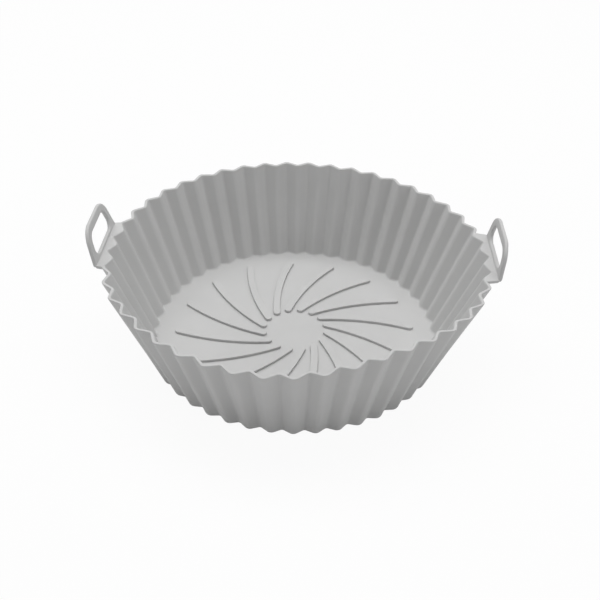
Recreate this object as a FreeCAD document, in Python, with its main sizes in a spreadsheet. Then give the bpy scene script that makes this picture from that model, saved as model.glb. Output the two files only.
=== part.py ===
import FreeCAD, Part
import math
import os
import Sketcher

# A round liner for an air fryer basket, moulded in one piece of soft silicone rubber.
# A pleated wall flares from a flat floor, swirl ribs stand on the floor, and a loop
# handle stands on a small web outside the rim at each side.
#
# Origin: the middle of the underside. +Z is up, and the two handles lie along X.
# Lengths are in millimetres and angles in degrees.

SIZES = {
    # bowl, measured on its outer face
    "rim_radius": 100.0,
    "foot_radius": 80.0,
    "bowl_height": 55.5,
    "wall_thickness": 1.6,
    "floor_thickness": 1.8,
    "foot_chamfer": 2.2,
    # pleats of the wall
    "pleat_count": 45,
    "flank_angle": 34.0,
    "bend_radius": 2.4,
    # swirl ribs on the floor, measured along the middle of a rib
    "rib_count": 16,
    "rib_width": 3.8,
    "rib_height": 1.2,
    "rib_start_radius": 18.0,
    "rib_end_radius": 65.0,
    "rib_sweep": 32.5,
    "rib_bend_radius": 120.0,
    "rib_first_angle": 15.0,
    # webs outside the rim
    "web_length": 42.6,
    "web_thickness": 1.8,
    "web_corner_radius": 1.5,
    "web_depth": 14.0,
    # loop handles that stand on the webs
    "loop_stand_off": 0.2,
    "loop_length": 41.8,
    "loop_height": 18.0,
    "loop_corner_radius": 10.0,
    "loop_side_angle": 12.0,
    "loop_lean": 15.0,
    "sill_height": 1.7,
    "sill_corner_radius": 4.5,
    "strap_width": 4.6,
    "strap_thickness": 2.0,
    "strap_edge": 0.5,
}

SHEET = "Sizes"
ABOVE_RIM = 1.0

# names that the sketcher gives to its origin, its axes and the points of a curve
ORIGIN, HORIZONTAL_AXIS, VERTICAL_AXIS = -1, -1, -2
START, END, CENTRE = 1, 2, 3


def make_sheet(doc):
    sheet = doc.addObject("Spreadsheet::Sheet", SHEET)
    for row, (name, value) in enumerate(SIZES.items(), start=1):
        sheet.set(f"A{row}", name)
        sheet.set(f"B{row}", str(value))
        sheet.setAlias(f"B{row}", name)
    doc.recompute()
    return {name: getattr(sheet, name) for name in SIZES}


def cell(name):
    return f"{SHEET}.{name}"


# Pleated wall and floor


def polar(radius, angle, height):
    return FreeCAD.Vector(radius * math.cos(angle), radius * math.sin(angle), height)


def rounded_corner(before, corner, after, radius):
    """Start, middle and end of the arc that rounds a corner of a polygon."""
    towards_before = (before - corner).normalize()
    towards_after = (after - corner).normalize()
    half = towards_before.getAngle(towards_after) / 2
    setback = radius / math.tan(half)
    inward = (towards_before + towards_after).normalize()
    middle = corner + inward * (radius / math.sin(half) - radius)
    return corner + towards_before * setback, middle, corner + towards_after * setback


def zigzag_ring(sizes, crest, depth, height):
    """The pleats at one height, as rounded corners: a crest, a valley, and so on.

    crest is the radius of the crests on the outer face, and depth is how far the line
    lies inside that face.
    """
    pitch = 2 * math.pi / sizes["pleat_count"]
    flank = math.radians(sizes["flank_angle"])
    crest_bend = sizes["bend_radius"] + sizes["wall_thickness"] / 2
    valley_bend = sizes["bend_radius"] - sizes["wall_thickness"] / 2
    sharp_crest = crest + crest_bend * (1 / math.cos(flank) - 1) - depth / math.cos(flank)
    sharp_valley = sharp_crest * math.cos(flank) / math.cos(flank - pitch / 2)
    corners = []
    for pleat in range(round(sizes["pleat_count"])):
        corners.append((polar(sharp_crest, pleat * pitch, height), crest_bend - depth))
        corners.append((polar(sharp_valley, (pleat + 0.5) * pitch, height), valley_bend + depth))
    ring = []
    for index, (corner, bend) in enumerate(corners):
        before, after = corners[index - 1][0], corners[(index + 1) % len(corners)][0]
        ring.append(rounded_corner(before, corner, after, bend))
    return ring


def ring_face(ring):
    edges = []
    for index, bend in enumerate(ring):
        following = ring[(index + 1) % len(ring)]
        edges.append(Part.Arc(*bend).toShape())
        edges.append(Part.LineSegment(bend[2], following[0]).toShape())
    return Part.Face(Part.Wire(edges))


def band_between(low, high):
    """Faces from one ring up to the next: flat flanks, and bends that run up the wall."""
    faces = []
    for index, (bend_low, bend_high) in enumerate(zip(low, high)):
        following = (index + 1) % len(low)
        faces.append(Part.Arc(*bend_low).toShape().extrude(bend_high[0] - bend_low[0]))
        corners = [bend_low[2], low[following][0], high[following][0], bend_high[2], bend_low[2]]
        faces.append(Part.Face(Part.makePolygon(corners)))
    return faces


def closed_solid(faces):
    skin = Part.Compound(faces)
    skin.sewShape()
    solid = Part.Solid(skin.Shells[0])
    if solid.Volume < 0:
        solid.reverse()
    return solid


def crest_at(sizes, height):
    flare = (sizes["rim_radius"] - sizes["foot_radius"]) / sizes["bowl_height"]
    return sizes["foot_radius"] + flare * height


def pleated_bowl(sizes):
    """The wall and the floor, with a chamfered foot."""
    rim, floor = sizes["bowl_height"], sizes["floor_thickness"]
    wall, chamfer = sizes["wall_thickness"], sizes["foot_chamfer"]
    sole = zigzag_ring(sizes, crest_at(sizes, chamfer) - chamfer, 0, 0)
    foot = zigzag_ring(sizes, crest_at(sizes, chamfer), 0, chamfer)
    rim_outside = zigzag_ring(sizes, crest_at(sizes, rim), 0, rim)
    rim_inside = zigzag_ring(sizes, crest_at(sizes, rim), wall, rim)
    floor_edge = zigzag_ring(sizes, crest_at(sizes, floor), wall, floor)
    faces = band_between(sole, foot) + band_between(foot, rim_outside)
    faces += band_between(floor_edge, rim_inside)
    faces += ring_face(rim_outside).cut(ring_face(rim_inside)).Faces
    return closed_solid(faces + [ring_face(floor_edge), ring_face(sole)])


def bowl_core(sizes):
    """Everything inside the middle of the wall, from the foot to a little above the rim."""
    top = sizes["bowl_height"] + ABOVE_RIM
    middle = sizes["wall_thickness"] / 2
    low = zigzag_ring(sizes, crest_at(sizes, 0), middle, 0)
    high = zigzag_ring(sizes, crest_at(sizes, top), middle, top)
    return closed_solid(band_between(low, high) + [ring_face(low), ring_face(high)])


def shaped_feature(doc, label, shape):
    feature = doc.addObject("Part::Feature", label)
    feature.Label = label
    feature.Shape = shape
    return feature


# Bodies and sketches


def new_body(doc, label):
    body = doc.addObject("PartDesign::Body", label)
    body.Label = label
    return body


def origin_feature(body, role):
    return next(item for item in body.Origin.OriginFeatures if item.Role == role)


def new_sketch(body, label, plane):
    sketch = body.newObject("Sketcher::SketchObject", label)
    sketch.AttachmentSupport = (origin_feature(body, plane), [""])
    sketch.MapMode = "FlatFace"
    return sketch


def relate(sketch, kind, *items):
    return sketch.addConstraint(Sketcher.Constraint(kind, *items))


def measure(sketch, formula, kind, *items):
    """Adds a dimension and binds it to the sheet."""
    index = relate(sketch, kind, *items)
    sketch.setExpression(f"Constraints[{index}]", formula)


def join_in_turn(sketch, curves):
    """Joins curves that follow one another round a closed outline, smoothly where an arc meets one."""
    for index, first in enumerate(curves):
        second = curves[(index + 1) % len(curves)]
        pairs = [(a, b) for a in (START, END) for b in (START, END)]
        gaps = [(sketch.getPoint(first, a) - sketch.getPoint(second, b)).Length for a, b in pairs]
        first_end, second_end = pairs[gaps.index(min(gaps))]
        straight = all(isinstance(sketch.Geometry[curve], Part.LineSegment) for curve in (first, second))
        kind = "Coincident" if straight else "Tangent"
        relate(sketch, kind, first, first_end, second, second_end)


def add_polygon(sketch, corners):
    """Draws a closed polygon whose corners are (x, y, radius), and returns its lines and its arcs.

    Line n runs from corner n to the next one, and arc n rounds corner n where it has a radius.
    """
    points = [FreeCAD.Vector(x, y, 0) for x, y, radius in corners]
    bends = []
    for index, (x, y, radius) in enumerate(corners):
        before, after = points[index - 1], points[(index + 1) % len(points)]
        sharp = (points[index],) * 3
        bends.append(rounded_corner(before, points[index], after, radius) if radius else sharp)
    lines, arcs, curves = [], [], []
    for index, bend in enumerate(bends):
        arc = sketch.addGeometry(Part.Arc(*bend), False) if corners[index][2] else None
        following = bends[(index + 1) % len(bends)]
        line = sketch.addGeometry(Part.LineSegment(bend[2], following[0]), False)
        arcs.append(arc)
        lines.append(line)
        curves += [line] if arc is None else [arc, line]
    join_in_turn(sketch, curves)
    return lines, arcs


def add_pad(body, sketch, label, formula):
    pad = body.newObject("PartDesign::Pad", label)
    pad.Profile = sketch
    pad.setExpression("Length", formula)
    return pad


# Swirl ribs


def short_arc(centre, start, end):
    """The short way round a centre from start to end."""
    radius = (start - centre).Length
    middle = centre + ((start - centre) + (end - centre)).normalize() * radius
    return Part.Arc(start, middle, end)


def rib_sketch(body, sizes):
    """One rib: two long arcs about one centre, closed by a half round at each end."""
    sketch = new_sketch(body, "rib_outline", "XY_Plane")
    half = sizes["rib_width"] / 2
    root = FreeCAD.Vector(sizes["rib_start_radius"], 0, 0)
    tip = polar(sizes["rib_end_radius"], -math.radians(sizes["rib_sweep"]), 0)
    chord = tip - root
    left = FreeCAD.Vector(-chord.y, chord.x, 0).normalize()
    drop = math.sqrt(sizes["rib_bend_radius"] ** 2 - (chord.Length / 2) ** 2)
    centre = (root + tip) / 2 - left * drop
    root_out = (root - centre).normalize() * half
    tip_out = (tip - centre).normalize() * half
    along_root = FreeCAD.Vector(root_out.y, -root_out.x, 0)
    along_tip = FreeCAD.Vector(tip_out.y, -tip_out.x, 0)
    far = sketch.addGeometry(short_arc(centre, root + root_out, tip + tip_out), False)
    tip_cap = sketch.addGeometry(Part.Arc(tip + tip_out, tip + along_tip, tip - tip_out), False)
    near = sketch.addGeometry(short_arc(centre, tip - tip_out, root - root_out), False)
    root_cap = sketch.addGeometry(Part.Arc(root - root_out, root - along_root, root + root_out), False)
    join_in_turn(sketch, [far, tip_cap, near, root_cap])
    relate(sketch, "Coincident", far, CENTRE, near, CENTRE)
    relate(sketch, "PointOnObject", root_cap, CENTRE, HORIZONTAL_AXIS)
    sweep = f"{cell('rib_sweep')} * 1 deg"
    reach, fall = f"{cell('rib_end_radius')} * cos({sweep})", f"{cell('rib_end_radius')} * sin({sweep})"
    measure(sketch, cell("rib_start_radius"), "DistanceX", ORIGIN, START, root_cap, CENTRE, root.x)
    measure(sketch, reach, "DistanceX", ORIGIN, START, tip_cap, CENTRE, tip.x)
    measure(sketch, fall, "DistanceY", tip_cap, CENTRE, ORIGIN, START, -tip.y)
    measure(sketch, f"{cell('rib_width')} / 2", "Radius", root_cap, half)
    far_radius = f"{cell('rib_bend_radius')} + {cell('rib_width')} / 2"
    measure(sketch, far_radius, "Radius", far, sizes["rib_bend_radius"] + half)
    return sketch


def make_ribs(doc, sizes):
    body = new_body(doc, "swirl_ribs")
    sketch = rib_sketch(body, sizes)
    sketch.AttachmentOffset = FreeCAD.Placement(
        FreeCAD.Vector(0, 0, sizes["floor_thickness"] / 2),
        FreeCAD.Rotation(FreeCAD.Vector(0, 0, 1), sizes["rib_first_angle"]),
    )
    sketch.setExpression("AttachmentOffset.Base.z", f"{cell('floor_thickness')} / 2")
    sketch.setExpression("AttachmentOffset.Rotation.Angle", cell("rib_first_angle"))
    rib = add_pad(body, sketch, "rib", f"{cell('floor_thickness')} / 2 + {cell('rib_height')}")
    ring = body.newObject("PartDesign::PolarPattern", "rib_ring")
    ring.Originals = [rib]
    ring.Axis = (origin_feature(body, "Z_Axis"), [""])
    ring.Angle = 360
    ring.setExpression("Occurrences", cell("rib_count"))
    body.Tip = ring
    return body


# Webs


def make_web_plate(doc, sizes):
    """The flat plate at +X, from inside the wall to the outer face of the handle's strap."""
    body = new_body(doc, "web_plate")
    sketch = new_sketch(body, "web_outline", "XY_Plane")
    strap = f"{cell('strap_thickness')} / cos({cell('loop_lean')} * 1 deg)"
    outer = sizes["rim_radius"] + sizes["loop_stand_off"] + sizes["strap_thickness"]
    inner = sizes["rim_radius"] - sizes["web_depth"]
    half, corner = sizes["web_length"] / 2, sizes["web_corner_radius"]
    corners = [(inner, -half, 0), (outer, -half, corner), (outer, half, corner), (inner, half, 0)]
    lines, arcs = add_polygon(sketch, corners)
    near_end, outer_edge, far_end, inner_edge = lines
    relate(sketch, "Horizontal", near_end)
    relate(sketch, "Horizontal", far_end)
    relate(sketch, "Vertical", outer_edge)
    relate(sketch, "Symmetric", inner_edge, START, inner_edge, END, HORIZONTAL_AXIS)
    relate(sketch, "Equal", arcs[1], arcs[2])
    measure(sketch, cell("web_length"), "DistanceY", inner_edge, END, inner_edge, START, 2 * half)
    measure(sketch, cell("web_corner_radius"), "Radius", arcs[1], corner)
    inner_reach = f"{cell('rim_radius')} - {cell('web_depth')}"
    outer_reach = f"{cell('rim_radius')} + {cell('loop_stand_off')} + {strap}"
    measure(sketch, inner_reach, "DistanceX", ORIGIN, START, inner_edge, START, inner)
    measure(sketch, outer_reach, "DistanceX", ORIGIN, START, outer_edge, START, outer)
    sketch.setExpression("AttachmentOffset.Base.z", f"{cell('bowl_height')} - {cell('web_thickness')}")
    add_pad(body, sketch, "web", cell("web_thickness"))
    return body


# Loop handles


def trapezoid(bottom, top):
    """Corners of a trapezoid about the vertical axis. Bottom and top are (half width, height, radius)."""
    corners = []
    for (half, height, radius), sides in ((bottom, (-1, 1)), (top, (1, -1))):
        corners += [(side * half, height, radius) for side in sides]
    return corners


def loop_sketch(body, sizes):
    """The loop seen square on: a rounded trapezoid with a hole that leaves a strap of even width."""
    sketch = new_sketch(body, "loop_outline", "YZ_Plane")
    strap, corner = sizes["strap_width"], sizes["loop_corner_radius"]
    lean_in = math.tan(math.radians(sizes["loop_side_angle"]))
    side = strap / math.cos(math.radians(sizes["loop_side_angle"]))
    bottom, top = -sizes["web_thickness"] / 2, sizes["loop_height"]
    sill, lintel = sizes["sill_height"], sizes["loop_height"] - strap

    def edge(height):
        return sizes["loop_length"] / 2 - (height - bottom) * lean_in

    outer = trapezoid((edge(bottom), bottom, 0), (edge(top), top, corner))
    lines, arcs = add_polygon(sketch, outer)
    base, right_side, crown, left_side = lines
    relate(sketch, "Symmetric", base, START, base, END, VERTICAL_AXIS)
    relate(sketch, "Symmetric", arcs[2], CENTRE, arcs[3], CENTRE, VERTICAL_AXIS)
    relate(sketch, "Equal", arcs[2], arcs[3])
    measure(sketch, cell("loop_length"), "DistanceX", base, START, base, END, 2 * edge(bottom))
    measure(sketch, f"{cell('web_thickness')} / 2", "DistanceY", base, START, ORIGIN, START, -bottom)
    measure(sketch, cell("loop_height"), "DistanceY", ORIGIN, START, crown, START, top)
    measure(sketch, cell("loop_corner_radius"), "Radius", arcs[2], corner)
    slant = f"90 deg + {cell('loop_side_angle')} * 1 deg"
    measure(sketch, slant, "Angle", right_side, math.radians(90 + sizes["loop_side_angle"]))

    low, high = edge(sill) - side, edge(lintel) - side
    small, inner_corner = sizes["sill_corner_radius"], corner - strap
    hole = trapezoid((low, sill, small), (high, lintel, inner_corner))
    hole_lines, hole_arcs = add_polygon(sketch, hole)
    relate(sketch, "Coincident", hole_arcs[2], CENTRE, arcs[2], CENTRE)
    relate(sketch, "Coincident", hole_arcs[3], CENTRE, arcs[3], CENTRE)
    relate(sketch, "Equal", hole_arcs[2], hole_arcs[3])
    relate(sketch, "Equal", hole_arcs[0], hole_arcs[1])
    relate(sketch, "Parallel", hole_lines[1], right_side)
    relate(sketch, "Parallel", hole_lines[3], left_side)
    relate(sketch, "Horizontal", hole_lines[0])
    inner_radius = f"{cell('loop_corner_radius')} - {cell('strap_width')}"
    measure(sketch, inner_radius, "Radius", hole_arcs[2], inner_corner)
    measure(sketch, cell("sill_corner_radius"), "Radius", hole_arcs[0], small)
    measure(sketch, cell("sill_height"), "DistanceY", ORIGIN, START, hole_lines[0], START, sill)
    return sketch


def broad_faces(feature):
    """Names of the two flat faces that the strap's thickness lies between."""
    names = []
    for number, face in enumerate(feature.Shape.Faces, start=1):
        flat = isinstance(face.Surface, Part.Plane)
        if flat and abs(face.Surface.Axis.x) > math.cos(math.radians(1)):
            names.append(f"Face{number}")
    return names


def make_loop(doc, sizes):
    """The handle at +X, which leans outwards from the rim."""
    body = new_body(doc, "loop_handle")
    pad = add_pad(body, loop_sketch(body, sizes), "strap", cell("strap_thickness"))
    doc.recompute()
    eased = body.newObject("PartDesign::Chamfer", "eased_edges")
    eased.Base = (pad, broad_faces(pad))
    eased.setExpression("Size", cell("strap_edge"))
    base = FreeCAD.Vector(sizes["rim_radius"], 0, sizes["bowl_height"])
    leaning = FreeCAD.Rotation(FreeCAD.Vector(0, 1, 0), sizes["loop_lean"])
    body.Placement = FreeCAD.Placement(base, leaning)
    body.setExpression("Placement.Base.x", f"{cell('rim_radius')} + {cell('loop_stand_off')}")
    body.setExpression("Placement.Base.z", cell("bowl_height"))
    body.setExpression("Placement.Rotation.Angle", cell("loop_lean"))
    return body


def mirrored(doc, source, label):
    copy = doc.addObject("Part::Mirroring", label)
    copy.Source = source
    copy.Normal = FreeCAD.Vector(1, 0, 0)
    copy.Base = FreeCAD.Vector(0, 0, 0)
    return copy


def joined(doc, label, pieces):
    fusion = doc.addObject("Part::MultiFuse", label)
    fusion.Label = label
    fusion.Shapes = pieces
    fusion.Refine = True
    return fusion


# The whole liner


def build_liner(doc, sizes):
    bowl = shaped_feature(doc, "pleated_bowl", pleated_bowl(sizes))
    core = shaped_feature(doc, "bowl_core", bowl_core(sizes))
    ribs = make_ribs(doc, sizes)
    plate = make_web_plate(doc, sizes)
    loop = make_loop(doc, sizes)
    webs = doc.addObject("Part::Cut", "webs")
    webs.Base = joined(doc, "web_plates", [plate, mirrored(doc, plate, "left_web_plate")])
    webs.Tool = core
    return joined(doc, "liner", [bowl, webs, ribs, loop, mirrored(doc, loop, "left_loop_handle")])


def check_document(doc):
    for item in doc.Objects:
        failed = {"Invalid", "Error"} & set(item.State)
        if failed:
            raise RuntimeError(f"{item.Label} did not build: {item.State}")


def export_part(item):
    shape = item.Shape
    if shape.isNull() or not shape.isValid() or len(shape.Solids) != 1:
        raise RuntimeError(f"{item.Label} is not one sound solid")
    os.makedirs("parts", exist_ok=True)
    shape.exportStep(os.path.join("parts", f"{item.Label}.step"))
    print(f"{item.Label}: {shape.Volume / 1000:.1f} cm3, {len(shape.Faces)} faces, {shape.BoundBox}")


def main():
    doc = FreeCAD.newDocument("liner_model")
    sizes = make_sheet(doc)
    liner = build_liner(doc, sizes)
    doc.recompute()
    check_document(doc)
    export_part(liner)


main()
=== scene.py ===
import math

import bpy
from mathutils import Matrix, Vector


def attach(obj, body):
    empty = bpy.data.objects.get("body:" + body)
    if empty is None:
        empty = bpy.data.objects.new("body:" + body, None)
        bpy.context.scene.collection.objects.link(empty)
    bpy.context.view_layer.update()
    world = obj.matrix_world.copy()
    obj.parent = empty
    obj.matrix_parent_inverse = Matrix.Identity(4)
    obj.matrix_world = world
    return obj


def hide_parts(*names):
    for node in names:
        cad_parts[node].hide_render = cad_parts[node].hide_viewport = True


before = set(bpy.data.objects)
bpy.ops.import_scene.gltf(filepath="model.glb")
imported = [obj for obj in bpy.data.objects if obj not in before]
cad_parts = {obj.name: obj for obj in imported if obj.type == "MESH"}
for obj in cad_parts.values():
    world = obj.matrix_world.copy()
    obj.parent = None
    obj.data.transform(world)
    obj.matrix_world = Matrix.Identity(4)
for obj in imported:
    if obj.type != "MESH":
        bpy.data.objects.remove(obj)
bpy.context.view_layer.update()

# A round silicone liner for an air fryer basket: a pleated bowl with swirl ribs on its
# floor and a loop handle on a web at each side. It is one soft moulding, so it is one
# piece here, and Geometry Nodes make it from the sizes below. Lengths are in metres.

MM = 0.001

BOWL = {
    "Pleats": 45,
    "Rim Radius": 100 * MM,
    "Foot Radius": 80 * MM,
    "Bowl Height": 55.5 * MM,
    "Wall": 1.6 * MM,
    "Floor": 1.8 * MM,
    "Flank Angle": math.radians(34),
    "Bend Radius": 2.4 * MM,
    "Foot Round": 2.2 * MM,
    "Rim Round": 0.6 * MM,
    "Corner Round": 1.0 * MM,
    "Web Thickness": 1.8 * MM,
    "Web Half Length": 21.3 * MM,
    "Web Reach": 102.2 * MM,
    "Web Corner": 2.6 * MM,
}

RIBS = {
    "Ribs": 16,
    "First Angle": math.radians(15),
    "Start Radius": 18 * MM,
    "End Radius": 65 * MM,
    "Sweep": math.radians(32.5),
    "Rib Bend": 120 * MM,
    "Rib Width": 3.8 * MM,
    "Rib Height": 1.5 * MM,
    "Rib Round": 0.15 * MM,
    "Rib Base": 1.8 * MM,
    "Rib Root": 0.6 * MM,
}

LOOPS = {
    "Loop Length": 41.8 * MM,
    "Loop Height": 18 * MM,
    "Loop Foot": 0.9 * MM,
    "Loop Corner": 10.0 * MM,
    "Side Angle": math.radians(12),
    "Lean": math.radians(15),
    "Sill": 1.7 * MM,
    "Sill Corner": 4.5 * MM,
    "Foot Corner": 0.5 * MM,
    "Strap Width": 4.6 * MM,
    "Strap Thickness": 2.0 * MM,
    "Strap Round": 0.8 * MM,
    "Stand Off": 100.2 * MM,
    "Stand Height": 55.5 * MM,
}

# the soft wall isn't quite true: it leans in at the back, stands out at the right handle,
# is drawn in and up at the near right, sags at the near left and bulges a little at the left.
# It is most at the rim, and nothing on the floor and at the tops of the handles.
SETTLING = {
    "Still Below": 3.0 * MM,
    "Full From": 55.5 * MM,
    "Still Above": 70.5 * MM,
    "Back Place": math.radians(84),
    "Back Spread": math.radians(65),
    "Back Drawn In": 1.3 * MM,
    "Back Raised": 0.3 * MM,
    "Right Place": math.radians(-3.6),
    "Right Spread": math.radians(58),
    "Right Drawn In": -2.5 * MM,
    "Right Raised": 0.7 * MM,
    "Near Right Place": math.radians(-59.4),
    "Near Right Spread": math.radians(37),
    "Near Right Drawn In": 1.7 * MM,
    "Near Right Raised": 3.2 * MM,
    "Near Left Place": math.radians(-103),
    "Near Left Spread": math.radians(62),
    "Near Left Drawn In": 0.2 * MM,
    "Near Left Raised": -1.6 * MM,
    "Left Place": math.radians(-157.7),
    "Left Spread": math.radians(19.3),
    "Left Drawn In": -1.4 * MM,
    "Left Raised": -0.3 * MM,
}
SETTLED_PLACES = ("Back", "Right", "Near Right", "Near Left", "Left")

COUNTS = {"Pleats", "Ribs"}
REACH = "web reach"

# how finely the round stretches and the flat ones between them are divided
BEND_STEPS = 6
FLANK_CUTS = 3
RIB_CUTS = 7
EDGE_STEPS = 4
LOOP_STEPS = 12

# a rounded corner has a little more room beside it than its radius takes
ROUNDING_ROOM = 1.1
# the share of the web's reach at which the ease of its lower edge starts
WEB_EASE = 0.95
# a rib's round ends stop just short of meeting
ROUND_END = 0.999
# points nearer than this are one
MERGED_WITHIN = 0.002 * MM

# the photograph's camera, fitted to the rim, the foot and the floor. Angles are in radians.
CAMERA_AIM = Vector((2.51, 0, 22.94)) * MM
CAMERA_DISTANCE = 462.0 * MM
CAMERA_ELEVATION = 0.6435
CAMERA_ROLL = -0.023
CAMERA_TURN = math.radians(1.5)
CAMERA_LENS = 50.52

# the light: soft boxes that face the liner, angles in degrees, lengths in metres, power in watts
SOFT_BOXES = {
    "overhead": {"azimuth": 90, "elevation": 75, "width": 1.5, "depth": 0.7, "power": 12.4},
    "back_left": {"azimuth": 135, "elevation": 50, "width": 0.5, "depth": 0.5, "power": 1.3},
    "front_right": {"azimuth": 330, "elevation": 25, "width": 0.5, "depth": 0.3, "power": 1.7},
    "front_left": {"azimuth": 210, "elevation": 25, "width": 0.5, "depth": 0.3, "power": 1.05},
}
SOFT_BOX_DISTANCE = 1.3
AMBIENT = 0.29
FLOOR_COLOUR = (0.8, 0.8, 0.8, 1)
FLOOR_ROUGHNESS = 0.9
FLOOR_WHITENESS = 0.94
FLOOR_REACH = 3.0
WHITE = (1, 1, 1, 1)

# the silicone: two greys that pass into each other, and a fine grain
SILICONE_LIGHT = (0.60, 0.60, 0.597, 1)
SILICONE_DARK = (0.55, 0.55, 0.547, 1)
CLOUD_SCALE = 45
CLOUD_DETAIL = 3
GRAIN_SCALE = 1400
GRAIN_DETAIL = 2
GRAIN_STRENGTH = 0.12
GRAIN_DEPTH = 0.05 * MM
ROUGHNESS_LOW = 0.58
ROUGHNESS_HIGH = 0.68
SILICONE_IOR = 1.41
SILICONE_SPECULAR = 0.35


# Building node trees


class Tree:
    """A node group under construction. A value may be a number, a vector or a socket."""

    def __init__(self, name):
        self.group = bpy.data.node_groups.new(name, "GeometryNodeTree")
        self.start = self.group.nodes.new("NodeGroupInput")
        self.end = self.group.nodes.new("NodeGroupOutput")

    def take(self, label, socket_type="NodeSocketFloat", default=None):
        socket = self.group.interface.new_socket(label, in_out="INPUT", socket_type=socket_type)
        if default is not None:
            socket.default_value = default
        return self.start.outputs[label]

    def give(self, label, value, socket_type="NodeSocketGeometry"):
        self.group.interface.new_socket(label, in_out="OUTPUT", socket_type=socket_type)
        self.group.links.new(value, self.end.inputs[label])

    def feed(self, socket, value):
        if isinstance(value, bpy.types.NodeSocket):
            self.group.links.new(value, socket)
        else:
            socket.default_value = value

    def add(self, kind, feeds=None, **settings):
        node = self.group.nodes.new(kind)
        for name, value in settings.items():
            setattr(node, name, value)
        for key, value in (feeds or {}).items():
            self.feed(node.inputs[key], value)
        return node

    def call(self, inner, **feeds):
        node = self.add("GeometryNodeGroup", node_tree=inner.group)
        for name, value in feeds.items():
            self.feed(node.inputs[name.replace("_", " ")], value)
        return node.outputs[0]

    def math(self, operation, *values):
        node = self.add("ShaderNodeMath", operation=operation)
        for socket, value in zip(node.inputs, values):
            self.feed(socket, value)
        return node.outputs[0]

    def whole(self, operation, *values):
        node = self.add("FunctionNodeIntegerMath", operation=operation)
        for socket, value in zip(node.inputs, values):
            self.feed(socket, value)
        return node.outputs[0]

    def vector(self, operation, *values):
        node = self.add("ShaderNodeVectorMath", operation=operation)
        for socket, value in zip(node.inputs, values):
            self.feed(socket, value)
        return node.outputs["Value" if operation in ("DOT_PRODUCT", "LENGTH") else "Vector"]

    def scaled(self, vector, scale):
        feeds = {"Vector": vector, "Scale": scale}
        return self.add("ShaderNodeVectorMath", feeds, operation="SCALE").outputs[0]

    def xyz(self, x=0.0, y=0.0, z=0.0):
        return self.add("ShaderNodeCombineXYZ", {"X": x, "Y": y, "Z": z}).outputs[0]

    def split(self, vector):
        return self.add("ShaderNodeSeparateXYZ", {"Vector": vector}).outputs

    def turned(self, x=0.0, y=0.0, z=0.0):
        """The rotation by these angles."""
        return self.add("FunctionNodeEulerToRotation", {0: self.xyz(x, y, z)}).outputs[0]

    def ramp(self, value, start, end):
        """0 at the start, 1 at the end and even between them."""
        feeds = {"Value": value, "From Min": start, "From Max": end}
        return self.add("ShaderNodeMapRange", feeds).outputs[0]

    def choose(self, switch, off, on, kind="FLOAT"):
        feeds = {"Switch": switch, "False": off, "True": on}
        return self.add("GeometryNodeSwitch", feeds, input_type=kind).outputs[0]

    def compared(self, operation, a, b, kind="FLOAT"):
        kinds = {"data_type": kind, "operation": operation}
        return self.add("FunctionNodeCompare", {"A": a, "B": b}, **kinds).outputs[0]

    def index(self):
        return self.add("GeometryNodeInputIndex").outputs[0]

    def position(self):
        return self.add("GeometryNodeInputPosition").outputs[0]

    def moved(self, geometry, position):
        feeds = {"Geometry": geometry, "Position": position}
        return self.add("GeometryNodeSetPosition", feeds).outputs[0]

    def filleted(self, curve, count, radius):
        feeds = {"Curve": curve, "Count": count, "Radius": radius}
        return self.add("GeometryNodeFilletCurve", feeds, mode="POLY").outputs[0]

    def subdivided(self, curve, cuts):
        return self.add("GeometryNodeSubdivideCurve", {"Curve": curve, "Cuts": cuts}).outputs[0]

    def rectangle(self, width, height):
        feeds = {"Width": width, "Height": height}
        kind = "GeometryNodeCurvePrimitiveQuadrilateral"
        return self.add(kind, feeds, mode="RECTANGLE").outputs[0]

    def transformed(self, geometry, **feeds):
        node = self.add("GeometryNodeTransform", {"Geometry": geometry} | feeds)
        return node.outputs[0]

    def sampled(self, geometry, value, index):
        """The vector that the point of that index has."""
        feeds = {"Geometry": geometry, "Value": value, "Index": index}
        kinds = {"data_type": "FLOAT_VECTOR", "domain": "POINT"}
        return self.add("GeometryNodeSampleIndex", feeds, **kinds).outputs[0]

    def listed(self, values, kind):
        """The value whose place in the list is the point's index."""
        node = self.add("GeometryNodeIndexSwitch", {"Index": self.index()}, data_type=kind)
        while len(node.index_switch_items) < len(values):
            node.index_switch_items.new()
        for place, value in enumerate(values):
            self.feed(node.inputs[place + 1], value)
        return node.outputs[0]

    def joined(self, *geometries):
        node = self.add("GeometryNodeJoinGeometry")
        for geometry in geometries:
            self.group.links.new(geometry, node.inputs[0])
        return node.outputs[0]


def size_inputs(tree, sizes):
    """Adds a named input for each size, and returns their sockets by name."""
    sockets = {}
    for name, value in sizes.items():
        kind = "NodeSocketInt" if name in COUNTS else "NodeSocketFloat"
        sockets[name] = tree.take(name, kind, value)
    return sockets


# Shapes that more than one part of the moulding uses


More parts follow.
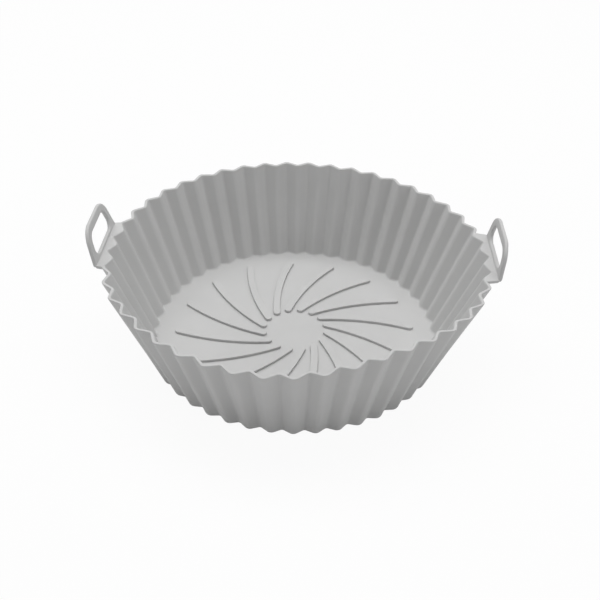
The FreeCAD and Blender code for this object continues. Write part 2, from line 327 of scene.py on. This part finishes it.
def make_skin_tree():
    """A closed skin: a profile carried round an outline.

    The profile's X is how far a point lies from the outline towards the inner outline, and
    its Y how far it lies from the low outline towards the high one. Its Z is the share of the
    high outline's reach that is added, such as a web that stands out from a rim.
    """
    tree = Tree("skin")
    low = tree.take("Low", "NodeSocketGeometry")
    high = tree.take("High", "NodeSocketGeometry")
    inner = tree.take("Inner", "NodeSocketGeometry")
    profile = tree.take("Profile", "NodeSocketGeometry")
    depth = tree.take("Depth")
    height = tree.take("Height")
    ring_profile = tree.take("Ring Profile", "NodeSocketBool", False)
    to_centre = tree.take("To Centre", "NodeSocketBool", False)

    def count_of(curve):
        node = tree.add("GeometryNodeAttributeDomainSize", {"Geometry": curve}, component="CURVE")
        return node.outputs["Point Count"]

    def place_on(curve, index):
        return tree.sampled(curve, tree.position(), index)

    columns, stations = count_of(low), count_of(profile)
    poles = tree.choose(to_centre, 0, 1, "INT")
    wraps = tree.choose(ring_profile, 0, 1, "INT")
    rows = tree.whole("ADD", stations, tree.whole("ADD", wraps, tree.whole("MULTIPLY", poles, 2)))
    counts = {"Vertices X": tree.whole("ADD", columns, 1), "Vertices Y": rows}
    grid = tree.add("GeometryNodeMeshGrid", counts).outputs[0]
    column = tree.whole("MODULO", tree.whole("DIVIDE_FLOOR", tree.index(), rows), columns)
    row = tree.whole("MODULO", tree.index(), rows)
    station = tree.whole("SUBTRACT", row, poles)
    last = tree.whole("SUBTRACT", stations, 1)
    within = tree.whole("MAXIMUM", 0, tree.whole("MINIMUM", station, last))
    wrapped = tree.choose(ring_profile, within, tree.whole("MODULO", row, stations), "INT")
    across, up, out = tree.split(place_on(profile, wrapped))

    start = place_on(low, column)
    rise = tree.vector("SUBTRACT", place_on(high, column), start)
    inward = tree.vector("SUBTRACT", place_on(inner, column), start)
    place = tree.vector("ADD", start, tree.scaled(rise, tree.math("DIVIDE", up, height)))
    place = tree.vector("ADD", place, tree.scaled(inward, tree.math("DIVIDE", across, depth)))
    noted = tree.add("GeometryNodeInputNamedAttribute", {"Name": REACH}, data_type="FLOAT_VECTOR")
    reach = tree.sampled(high, noted.outputs[0], column)
    place = tree.vector("ADD", place, tree.scaled(reach, out))

    off_end = tree.math("ABSOLUTE", tree.math("SUBTRACT", station, within))
    kept = tree.math("SUBTRACT", 1.0, tree.math("MULTIPLY", off_end, poles))
    place = tree.vector("MULTIPLY", place, tree.xyz(kept, kept, 1.0))
    feeds = {"Geometry": tree.moved(grid, place), "Distance": MERGED_WITHIN}
    tree.give("Mesh", tree.add("GeometryNodeMergeByDistance", feeds).outputs[0])
    return tree


def corner_profile(tree, rounded_corners, steps):
    """A curve through the corners, each rounded by the radius that stands beside it."""
    corners, radii = zip(*rounded_corners)
    line = tree.add("GeometryNodeCurvePrimitiveLine").outputs[0]
    feeds = {"Curve": line, "Count": len(corners)}
    line = tree.add("GeometryNodeResampleCurve", feeds).outputs[0]
    placed = tree.moved(line, tree.listed(corners, "VECTOR"))
    return tree.filleted(placed, steps, tree.listed(radii, "FLOAT"))


# Pleated bowl


def make_pleat_ring_tree():
    """The pleats at one height: a zigzag with rounded crests and valleys."""
    tree = Tree("pleat_ring")
    pleats = tree.take("Pleats", "NodeSocketInt")
    crest = tree.take("Crest Radius")
    depth = tree.take("Depth")
    height = tree.take("Height")
    flank = tree.take("Flank Angle")
    bend = tree.take("Bend Radius")
    wall = tree.take("Wall")

    half_wall = tree.math("MULTIPLY", wall, 0.5)
    crest_bend = tree.math("ADD", bend, half_wall)
    valley_bend = tree.math("SUBTRACT", bend, half_wall)
    slope = tree.math("COSINE", flank)
    step = tree.math("DIVIDE", math.pi, pleats)
    overshoot = tree.math("SUBTRACT", tree.math("DIVIDE", 1.0, slope), 1.0)
    sharpened = tree.math("ADD", crest, tree.math("MULTIPLY", crest_bend, overshoot))
    sharp_crest = tree.math("SUBTRACT", sharpened, tree.math("DIVIDE", depth, slope))
    turned = tree.math("COSINE", tree.math("SUBTRACT", flank, step))
    sharp_valley = tree.math("DIVIDE", tree.math("MULTIPLY", sharp_crest, slope), turned)

    is_valley = tree.whole("MODULO", tree.index(), 2)
    radius = tree.choose(is_valley, sharp_crest, sharp_valley)
    angle = tree.math("MULTIPLY", tree.index(), step)
    corner = tree.xyz(
        tree.math("MULTIPLY", radius, tree.math("COSINE", angle)),
        tree.math("MULTIPLY", radius, tree.math("SINE", angle)),
        height,
    )
    corners = tree.whole("MULTIPLY", pleats, 2)
    circle = tree.add(
        "GeometryNodeCurvePrimitiveCircle", {"Resolution": corners}, mode="RADIUS"
    ).outputs[0]
    rounding = tree.choose(
        is_valley, tree.math("SUBTRACT", crest_bend, depth), tree.math("ADD", valley_bend, depth)
    )
    ring = tree.filleted(tree.moved(circle, corner), BEND_STEPS, rounding)
    place_in_bend = tree.whole("MODULO", tree.index(), BEND_STEPS + 1)
    on_flank = tree.compared("EQUAL", place_in_bend, BEND_STEPS, "INT")
    tree.give("Curve", tree.subdivided(ring, tree.choose(on_flank, 0, FLANK_CUTS, "INT")))
    return tree


def with_webs(tree, size, rim):
    """Notes on each point of the rim how far a web carries it outwards, which may be nothing."""
    x, y, _ = tree.split(tree.position())
    beside = tree.math("ABSOLUTE", y)
    straight = tree.math("SUBTRACT", size["Web Half Length"], size["Web Corner"])
    past = tree.math("MAXIMUM", 0.0, tree.math("SUBTRACT", beside, straight))
    corner_squared = tree.math("POWER", size["Web Corner"], 2.0)
    squared = tree.math("SUBTRACT", corner_squared, tree.math("POWER", past, 2.0))
    kept = tree.math("SQRT", tree.math("MAXIMUM", squared, 0.0))
    drop = tree.math("SUBTRACT", size["Web Corner"], kept)
    edge = tree.math("SUBTRACT", size["Web Reach"], drop)
    missing = tree.math("SUBTRACT", edge, tree.math("ABSOLUTE", x))
    gain = tree.math("MULTIPLY", tree.math("SIGN", x), missing)
    on_web = tree.compared("LESS_THAN", beside, size["Web Half Length"])
    feeds = {"Geometry": rim, "Name": REACH, "Value": tree.xyz(tree.choose(on_web, 0.0, gain))}
    kinds = {"data_type": "FLOAT_VECTOR", "domain": "POINT"}
    return tree.add("GeometryNodeStoreNamedAttribute", feeds, **kinds).outputs[0]


def make_bowl_tree(skin, pleat_ring):
    tree = Tree("pleated_bowl")
    size = size_inputs(tree, BOWL)

    def ring(crest, depth, height):
        return tree.call(
            pleat_ring,
            Pleats=size["Pleats"],
            Crest_Radius=crest,
            Depth=depth,
            Height=height,
            Flank_Angle=size["Flank Angle"],
            Bend_Radius=size["Bend Radius"],
            Wall=size["Wall"],
        )

    foot = ring(size["Foot Radius"], 0.0, 0.0)
    rim = with_webs(tree, size, ring(size["Rim Radius"], 0.0, size["Bowl Height"]))
    inner = ring(size["Foot Radius"], size["Wall"], 0.0)

    wall, top, floor = size["Wall"], size["Bowl Height"], size["Floor"]
    web_low = tree.math("SUBTRACT", top, size["Web Thickness"])
    web_eased = tree.math("ADD", web_low, size["Rim Round"])
    sole_edge = tree.math("MULTIPLY", size["Foot Round"], ROUNDING_ROOM)
    rim_band = tree.math("MULTIPLY", size["Rim Round"], ROUNDING_ROOM)
    inner_room = tree.math("MULTIPLY", size["Corner Round"], ROUNDING_ROOM)
    floor_edge = tree.math("ADD", wall, inner_room)
    rim_round = size["Rim Round"]
    rounded_corners = [
        (tree.xyz(sole_edge, 0.0, 0.0), 0.0),
        (tree.xyz(0.0, 0.0, 0.0), size["Foot Round"]),
        (tree.xyz(0.0, web_low, 0.0), 0.0),
        (tree.xyz(0.0, web_low, WEB_EASE), 0.0),
        (tree.xyz(0.0, web_eased, 1.0), 0.0),
        (tree.xyz(0.0, top, 1.0), rim_round),
        (tree.xyz(rim_band, top, 1.0), 0.0),
        (tree.xyz(rim_band, top, 0.0), 0.0),
        (tree.xyz(wall, top, 0.0), rim_round),
        (tree.xyz(wall, floor, 0.0), size["Corner Round"]),
        (tree.xyz(floor_edge, floor, 0.0), 0.0),
    ]
    mesh = tree.call(
        skin,
        Low=foot,
        High=rim,
        Inner=inner,
        Profile=corner_profile(tree, rounded_corners, EDGE_STEPS),
        Depth=wall,
        Height=top,
        To_Centre=True,
    )
    tree.give("Mesh", mesh)
    return tree


# Swirl ribs


def make_ribs_tree(skin):
    tree = Tree("swirl_ribs")
    size = size_inputs(tree, RIBS)
    half = tree.math("MULTIPLY", size["Rib Width"], 0.5)

    # the rib's two ends, and the arc of its middle line through them
    root = tree.xyz(size["Start Radius"])
    tip_x = tree.math("MULTIPLY", size["End Radius"], tree.math("COSINE", size["Sweep"]))
    tip_y = tree.math("MULTIPLY", size["End Radius"], tree.math("SINE", size["Sweep"]))
    tip = tree.xyz(tip_x, tree.math("MULTIPLY", tip_y, -1.0))
    chord = tree.vector("SUBTRACT", tip, root)
    chord_x, chord_y, _ = tree.split(chord)
    half_chord = tree.math("MULTIPLY", tree.vector("LENGTH", chord), 0.5)
    half_turn = tree.math("ARCSINE", tree.math("DIVIDE", half_chord, size["Rib Bend"]))
    drop = tree.math("MULTIPLY", size["Rib Bend"], tree.math("COSINE", half_turn))
    left = tree.vector("NORMALIZE", tree.xyz(tree.math("MULTIPLY", chord_y, -1.0), chord_x))
    middle = tree.scaled(tree.vector("ADD", root, tip), 0.5)
    centre = tree.vector("SUBTRACT", middle, tree.scaled(left, drop))
    left_x, left_y, _ = tree.split(left)
    facing = tree.math("ARCTAN2", left_y, left_x)
    length = tree.math("MULTIPLY", tree.math("MULTIPLY", half_turn, 2.0), size["Rib Bend"])

    # a straight outline with round ends, then bent along the arc
    whole_length = tree.math("ADD", length, size["Rib Width"])
    straight = tree.rectangle(whole_length, size["Rib Width"])
    straight = tree.filleted(straight, BEND_STEPS, tree.math("MULTIPLY", half, ROUND_END))
    straight = tree.subdivided(straight, RIB_CUTS)

    def bent(along, aside, height):
        angle = tree.math("SUBTRACT", facing, tree.math("DIVIDE", along, size["Rib Bend"]))
        radius = tree.math("ADD", size["Rib Bend"], aside)
        x = tree.math("MULTIPLY", radius, tree.math("COSINE", angle))
        y = tree.math("MULTIPLY", radius, tree.math("SINE", angle))
        return tree.moved(straight, tree.vector("ADD", centre, tree.xyz(x, y, height)))

    along, aside, _ = tree.split(tree.position())
    end = tree.math("MULTIPLY", length, 0.5)
    other_end = tree.math("MULTIPLY", end, -1.0)
    clamped = tree.math("MAXIMUM", other_end, tree.math("MINIMUM", along, end))
    bottom = tree.math("SUBTRACT", size["Rib Base"], size["Rib Root"])
    top = tree.math("ADD", size["Rib Base"], size["Rib Height"])
    low = bent(along, aside, bottom)
    high = bent(along, aside, top)
    inner = bent(clamped, 0.0, bottom)
    tall = tree.math("SUBTRACT", top, bottom)
    rounded_corners = [
        (tree.xyz(half, 0.0, 0.0), 0.0),
        (tree.xyz(0.0, 0.0, 0.0), 0.0),
        (tree.xyz(0.0, tall, 0.0), size["Rib Round"]),
        (tree.xyz(half, tall, 0.0), 0.0),
    ]
    rib = tree.call(
        skin,
        Low=low,
        High=high,
        Inner=inner,
        Profile=corner_profile(tree, rounded_corners, EDGE_STEPS),
        Depth=half,
        Height=tall,
    )

    posts = tree.add("GeometryNodePoints", {"Count": size["Ribs"]}).outputs[0]
    pitch = tree.math("DIVIDE", 2 * math.pi, size["Ribs"])
    turn = tree.math("ADD", size["First Angle"], tree.math("MULTIPLY", tree.index(), pitch))
    feeds = {"Points": posts, "Instance": rib, "Rotation": tree.turned(z=turn)}
    tree.give("Mesh", tree.add("GeometryNodeInstanceOnPoints", feeds).outputs[0])
    return tree


# Loop handles


def make_loop_tree(skin):
    """The two loop handles: an even strap round a hole, leaning outwards at each side."""
    tree = Tree("loop_handles")
    size = size_inputs(tree, LOOPS)
    lean_in = tree.math("TANGENT", size["Side Angle"])
    strap = tree.math("DIVIDE", size["Strap Width"], tree.math("COSINE", size["Side Angle"]))
    bottom = tree.math("MULTIPLY", size["Loop Foot"], -1.0)
    lintel = tree.math("SUBTRACT", size["Loop Height"], size["Strap Width"])

    def width_at(height, inset):
        climbed = tree.math("MULTIPLY", tree.math("SUBTRACT", height, bottom), lean_in)
        both_sides = tree.math("MULTIPLY", tree.math("ADD", climbed, inset), 2.0)
        return tree.math("SUBTRACT", size["Loop Length"], both_sides)

    def outline(low, high, inset, top_corner, bottom_corner):
        trapezoid = tree.add(
            "GeometryNodeCurvePrimitiveQuadrilateral",
            {
                "Height": tree.math("SUBTRACT", high, low),
                "Bottom Width": width_at(low, inset),
                "Top Width": width_at(high, inset),
                "Offset": 0.0,
            },
            mode="TRAPEZOID",
        ).outputs[0]
        # its first two corners are at the top
        at_bottom = tree.whole("DIVIDE_FLOOR", tree.index(), 2)
        corner = tree.choose(at_bottom, top_corner, bottom_corner)
        rounded = tree.filleted(trapezoid, LOOP_STEPS, corner)
        across, up, _ = tree.split(tree.position())
        lift = tree.math("MULTIPLY", tree.math("ADD", low, high), 0.5)
        return tree.moved(rounded, tree.xyz(0.0, across, tree.math("ADD", up, lift)))

    outer = outline(bottom, size["Loop Height"], 0.0, size["Loop Corner"], size["Foot Corner"])
    hole_corner = tree.math("SUBTRACT", size["Loop Corner"], size["Strap Width"])
    hole = outline(size["Sill"], lintel, strap, hole_corner, size["Sill Corner"])
    thickness = size["Strap Thickness"]
    front = tree.moved(outer, tree.vector("ADD", tree.position(), tree.xyz(thickness)))

    width = size["Strap Width"]
    section = tree.filleted(tree.rectangle(width, thickness), EDGE_STEPS, size["Strap Round"])
    middle = tree.xyz(tree.math("MULTIPLY", width, 0.5), tree.math("MULTIPLY", thickness, 0.5))
    section = tree.moved(section, tree.vector("ADD", tree.position(), middle))
    loop = tree.call(
        skin,
        Low=outer,
        High=front,
        Inner=hole,
        Profile=section,
        Depth=width,
        Height=thickness,
        Ring_Profile=True,
    )
    stand = tree.xyz(size["Stand Off"], 0.0, size["Stand Height"])
    stood = tree.transformed(loop, Translation=stand, Rotation=tree.turned(y=size["Lean"]))
    other = tree.transformed(stood, Rotation=tree.turned(z=math.pi))
    tree.give("Mesh", tree.joined(stood, other))
    return tree


# The whole moulding


def make_settling_tree():
    """Moves the wall as soft silicone settles: most at the rim, not on the floor or high up."""
    tree = Tree("settled_wall")
    moulding = tree.take("Moulding", "NodeSocketGeometry")
    size = size_inputs(tree, SETTLING)
    x, y, z = tree.split(tree.position())
    facing = tree.math("ARCTAN2", y, x)
    wall_share = tree.ramp(z, size["Still Below"], size["Full From"])
    loop_share = tree.ramp(z, size["Still Above"], size["Full From"])
    freedom = tree.math("MULTIPLY", wall_share, loop_share)
    drawn_in, raised = 0.0, 0.0
    for place in SETTLED_PLACES:
        turned = tree.math("SUBTRACT", facing, size[place + " Place"])
        apart = tree.math("WRAP", turned, math.pi, -math.pi)
        fade = {
            "Value": tree.math("ABSOLUTE", apart),
            "From Max": size[place + " Spread"],
            "To Min": 1.0,
            "To Max": 0.0,
        }
        beside = tree.add("ShaderNodeMapRange", fade, interpolation_type="SMOOTHSTEP").outputs[0]
        amount = tree.math("MULTIPLY", beside, freedom)
        inwards = tree.math("MULTIPLY", size[place + " Drawn In"], amount)
        upwards = tree.math("MULTIPLY", size[place + " Raised"], amount)
        drawn_in = tree.math("ADD", drawn_in, inwards)
        raised = tree.math("ADD", raised, upwards)
    outward = tree.vector("NORMALIZE", tree.xyz(x, y))
    shift = tree.vector("SUBTRACT", tree.xyz(z=raised), tree.scaled(outward, drawn_in))
    tree.give("Moulding", tree.moved(moulding, tree.vector("ADD", tree.position(), shift)))
    return tree


def make_liner_tree(material):
    skin = make_skin_tree()
    parts = [
        (make_bowl_tree(skin, make_pleat_ring_tree()), BOWL),
        (make_ribs_tree(skin), RIBS),
        (make_loop_tree(skin), LOOPS),
    ]
    tree = Tree("liner_moulding")
    meshes = []
    for part, sizes in parts:
        sockets = size_inputs(tree, sizes)
        node = tree.add("GeometryNodeGroup", sockets, node_tree=part.group)
        meshes.append(node.outputs[0])
    whole = tree.add("GeometryNodeRealizeInstances", {"Geometry": tree.joined(*meshes)}).outputs[0]
    sockets = size_inputs(tree, SETTLING)
    settled = tree.add("GeometryNodeGroup", sockets, node_tree=make_settling_tree().group)
    tree.feed(settled.inputs["Moulding"], whole)
    smooth = tree.add("GeometryNodeSetShadeSmooth", {"Geometry": settled.outputs[0]}).outputs[0]
    feeds = {"Geometry": smooth, "Material": material}
    tree.give("Geometry", tree.add("GeometryNodeSetMaterial", feeds).outputs[0])
    return tree


def set_sizes(modifier):
    """Sets the modifier's inputs by their sockets' identifiers."""
    sizes = BOWL | RIBS | LOOPS | SETTLING
    for item in modifier.node_group.interface.items_tree:
        if item.item_type == "SOCKET" and item.in_out == "INPUT":
            modifier[item.identifier] = sizes[item.name]


def make_liner(material):
    seed = bpy.data.objects.new("liner_seed", bpy.data.meshes.new("liner_seed"))
    bpy.context.scene.collection.objects.link(seed)
    shaping = seed.modifiers.new("shape", "NODES")
    shaping.node_group = make_liner_tree(material).group
    set_sizes(shaping)
    even = seed.modifiers.new("even shading", "WEIGHTED_NORMAL")
    even.weight = 50
    shaped = seed.evaluated_get(bpy.context.evaluated_depsgraph_get())
    mesh = bpy.data.meshes.new_from_object(shaped)
    bpy.data.objects.remove(seed)
    mesh.name = "soft_liner"
    liner = bpy.data.objects.new("soft_liner", mesh)
    bpy.context.scene.collection.objects.link(liner)
    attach(liner, "root")
    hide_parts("liner")
    return liner


# Materials


def make_silicone():
    """Matte grey silicone rubber: a faint cloudiness in the colour and a very fine grain."""
    material = bpy.data.materials.new("grey_silicone")
    material.use_nodes = True
    nodes, links = material.node_tree.nodes, material.node_tree.links
    shader = nodes["Principled BSDF"]
    place = nodes.new("ShaderNodeTexCoord").outputs["Object"]

    clouds = nodes.new("ShaderNodeTexNoise")
    clouds.inputs["Scale"].default_value = CLOUD_SCALE
    clouds.inputs["Detail"].default_value = CLOUD_DETAIL
    links.new(place, clouds.inputs["Vector"])
    tint = nodes.new("ShaderNodeMix")
    tint.data_type = "RGBA"
    tint.inputs["A"].default_value = SILICONE_DARK
    tint.inputs["B"].default_value = SILICONE_LIGHT
    links.new(clouds.outputs["Fac"], tint.inputs["Factor"])
    links.new(tint.outputs["Result"], shader.inputs["Base Color"])

    grain = nodes.new("ShaderNodeTexNoise")
    grain.inputs["Scale"].default_value = GRAIN_SCALE
    grain.inputs["Detail"].default_value = GRAIN_DETAIL
    links.new(place, grain.inputs["Vector"])
    bump = nodes.new("ShaderNodeBump")
    bump.inputs["Strength"].default_value = GRAIN_STRENGTH
    bump.inputs["Distance"].default_value = GRAIN_DEPTH
    links.new(grain.outputs["Fac"], bump.inputs["Height"])
    links.new(bump.outputs["Normal"], shader.inputs["Normal"])

    dull = nodes.new("ShaderNodeMapRange")
    dull.inputs["To Min"].default_value = ROUGHNESS_LOW
    dull.inputs["To Max"].default_value = ROUGHNESS_HIGH
    links.new(clouds.outputs["Fac"], dull.inputs["Value"])
    links.new(dull.outputs["Result"], shader.inputs["Roughness"])
    shader.inputs["IOR"].default_value = SILICONE_IOR
    shader.inputs["Specular IOR Level"].default_value = SILICONE_SPECULAR
    return material


def shown_rays(nodes, links):
    """1 for a ray from the camera and for one that a glossy or a clear surface shows, else 0."""
    path = nodes.new("ShaderNodeLightPath")
    shown = path.outputs["Is Camera Ray"]
    for kind in ("Is Glossy Ray", "Is Transmission Ray"):
        either = nodes.new("ShaderNodeMath")
        either.operation = "MAXIMUM"
        links.new(shown, either.inputs[0])
        links.new(path.outputs[kind], either.inputs[1])
        shown = either.outputs[0]
    return shown


def make_paper():
    """A pale floor that shows as white, and keeps the liner's shadow faintly."""
    material = bpy.data.materials.new("white_floor")
    material.use_nodes = True
    nodes, links = material.node_tree.nodes, material.node_tree.links
    paper = nodes["Principled BSDF"]
    paper.inputs["Base Color"].default_value = FLOOR_COLOUR
    paper.inputs["Roughness"].default_value = FLOOR_ROUGHNESS
    white = nodes.new("ShaderNodeEmission")
    white.inputs["Color"].default_value = WHITE
    white.inputs["Strength"].default_value = 1
    share = nodes.new("ShaderNodeMath")
    share.operation = "MULTIPLY"
    share.inputs[1].default_value = FLOOR_WHITENESS
    links.new(shown_rays(nodes, links), share.inputs[0])
    blend = nodes.new("ShaderNodeMixShader")
    links.new(share.outputs[0], blend.inputs["Fac"])
    links.new(paper.outputs[0], blend.inputs[1])
    links.new(white.outputs[0], blend.inputs[2])
    links.new(blend.outputs[0], nodes["Material Output"].inputs["Surface"])
    return material


# Setting


def make_floor():
    mesh = bpy.data.meshes.new("floor")
    signs = ((-1, -1), (1, -1), (1, 1), (-1, 1))
    corners = [(x * FLOOR_REACH, y * FLOOR_REACH, 0) for x, y in signs]
    mesh.from_pydata(corners, [], [(0, 1, 2, 3)])
    mesh.materials.append(make_paper())
    floor = bpy.data.objects.new("floor", mesh)
    bpy.context.scene.collection.objects.link(floor)


def make_world():
    """White where the camera sees it, and an even soft light on the object."""
    world = bpy.data.worlds.new("studio")
    bpy.context.scene.world = world
    world.use_nodes = True
    nodes, links = world.node_tree.nodes, world.node_tree.links
    backdrop = nodes["Background"]
    backdrop.inputs["Color"].default_value = WHITE
    backdrop.inputs["Strength"].default_value = 1
    ambient = nodes.new("ShaderNodeBackground")
    ambient.inputs["Color"].default_value = WHITE
    ambient.inputs["Strength"].default_value = AMBIENT
    choice = nodes.new("ShaderNodeMixShader")
    links.new(shown_rays(nodes, links), choice.inputs["Fac"])
    links.new(ambient.outputs[0], choice.inputs[1])
    links.new(backdrop.outputs[0], choice.inputs[2])
    links.new(choice.outputs[0], nodes["World Output"].inputs["Surface"])


def make_soft_box(name, azimuth, elevation, width, depth, power):
    """A soft box that faces the liner. Its angles are in degrees."""
    turn, climb = math.radians(azimuth), math.radians(elevation)
    level = math.cos(climb)
    towards = Vector((math.cos(turn) * level, math.sin(turn) * level, math.sin(climb)))
    data = bpy.data.lights.new(name, "AREA")
    data.shape = "RECTANGLE"
    data.size, data.size_y = width, depth
    data.energy = power
    lamp = bpy.data.objects.new(name, data)
    lamp.location = towards * SOFT_BOX_DISTANCE
    lamp.rotation_euler = (-towards).to_track_quat("-Z", "Y").to_euler()
    bpy.context.scene.collection.objects.link(lamp)


def make_camera():
    ahead = Vector((0, math.cos(CAMERA_ELEVATION), -math.sin(CAMERA_ELEVATION)))
    right = Vector((1, 0, 0))
    above = right.cross(ahead)
    rolled_right = right * math.cos(CAMERA_ROLL) - above * math.sin(CAMERA_ROLL)
    rolled_above = right * math.sin(CAMERA_ROLL) + above * math.cos(CAMERA_ROLL)
    facing = Matrix((rolled_right, rolled_above, -ahead)).transposed().to_4x4()
    place = Matrix.Translation(CAMERA_AIM - ahead * CAMERA_DISTANCE)
    camera = bpy.data.objects.new("camera", bpy.data.cameras.new("camera"))
    camera.data.lens = CAMERA_LENS
    camera.matrix_world = Matrix.Rotation(CAMERA_TURN, 4, "Z") @ place @ facing
    bpy.context.scene.collection.objects.link(camera)
    bpy.context.scene.camera = camera


make_liner(make_silicone())
make_floor()
make_world()
for name, soft_box in SOFT_BOXES.items():
    make_soft_box(name, **soft_box)
make_camera()
bpy.context.scene.view_settings.view_transform = "Standard"
